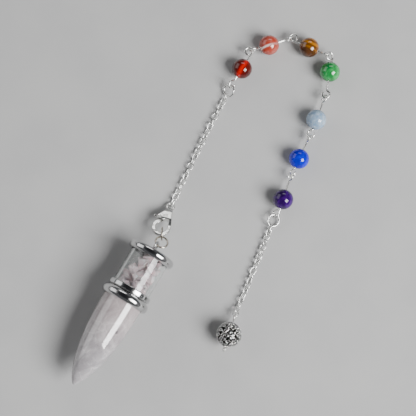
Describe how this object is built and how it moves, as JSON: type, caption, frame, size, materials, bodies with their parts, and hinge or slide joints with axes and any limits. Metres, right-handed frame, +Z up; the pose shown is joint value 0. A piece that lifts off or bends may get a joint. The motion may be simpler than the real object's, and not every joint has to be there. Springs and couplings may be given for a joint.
{
  "type": "pendulum pendant",
  "caption": "Crystal pendulum lying flat: stone point with a chip-filled glass vial, lobster clasp, cable chain, round stone beads on eye pins and a pierced metal ball.",
  "frame": {"origin": "on the surface that the part lies on, under the middle of its bounding box", "axes": "+Z up out of the surface; +Y from the stone point's tip side towards the bead string's far bend; the pendant's own axis lies in the plane, about 60 degrees from +X"},
  "size_m": [0.0792, 0.1064, 0.0149],
  "materials": {
    "rose_quartz": "polished",
    "quartz_chips": "gloss",
    "tube_glass": "polished",
    "polished_metal": "polished",
    "ring_metal": "polished",
    "clasp_metal": "satin",
    "chain_metal": "polished",
    "pin_metal": "polished",
    "ball_metal": "satin",
    "red_stone": "polished",
    "cherry_stone": "polished",
    "tiger_eye_stone": "polished",
    "green_stone": "polished",
    "pale_blue_stone": "polished",
    "blue_stone": "polished",
    "violet_stone": "polished"
  },
  "bodies": {
    "pendulum": {"stone_point": "rose_quartz", "collar": "polished_metal", "vial_base": "polished_metal", "glass_tube": "tube_glass", "quartz_chips": "quartz_chips", "top_cap": "polished_metal", "cap_ring": "ring_metal", "clasp_ring": "ring_metal", "clasp_body": "clasp_metal", "clasp_pin": "clasp_metal", "clasp_link": "chain_metal", "long_chain": "chain_metal", "string_ring": "ring_metal", "pin_red": "pin_metal", "pin_cherry": "pin_metal", "pin_tiger_eye": "pin_metal", "pin_green": "pin_metal", "pin_pale_blue": "pin_metal", "pin_blue": "pin_metal", "pin_violet": "pin_metal", "bead_red": "red_stone", "bead_cherry": "cherry_stone", "bead_tiger_eye": "tiger_eye_stone", "bead_green": "green_stone", "bead_pale_blue": "pale_blue_stone", "bead_blue": "blue_stone", "bead_violet": "violet_stone", "chain_ring": "ring_metal", "short_chain": "chain_metal", "end_ball": "ball_metal", "ball_pin": "pin_metal"},
    "lever": {"clasp_lever": "clasp_metal"}
  },
  "joints": [
    {"name": "clasp_lever_hinge", "type": "hinge", "parent": "pendulum", "child": "lever", "pos_m": [-0.01479, -0.00379, 0.00328], "axis": [0.0974, 0.3765, 0.9213], "range_deg": [0, 20], "stiffness_Nm_per_rad": 0.003, "springref_deg": -17.19}
  ]
}
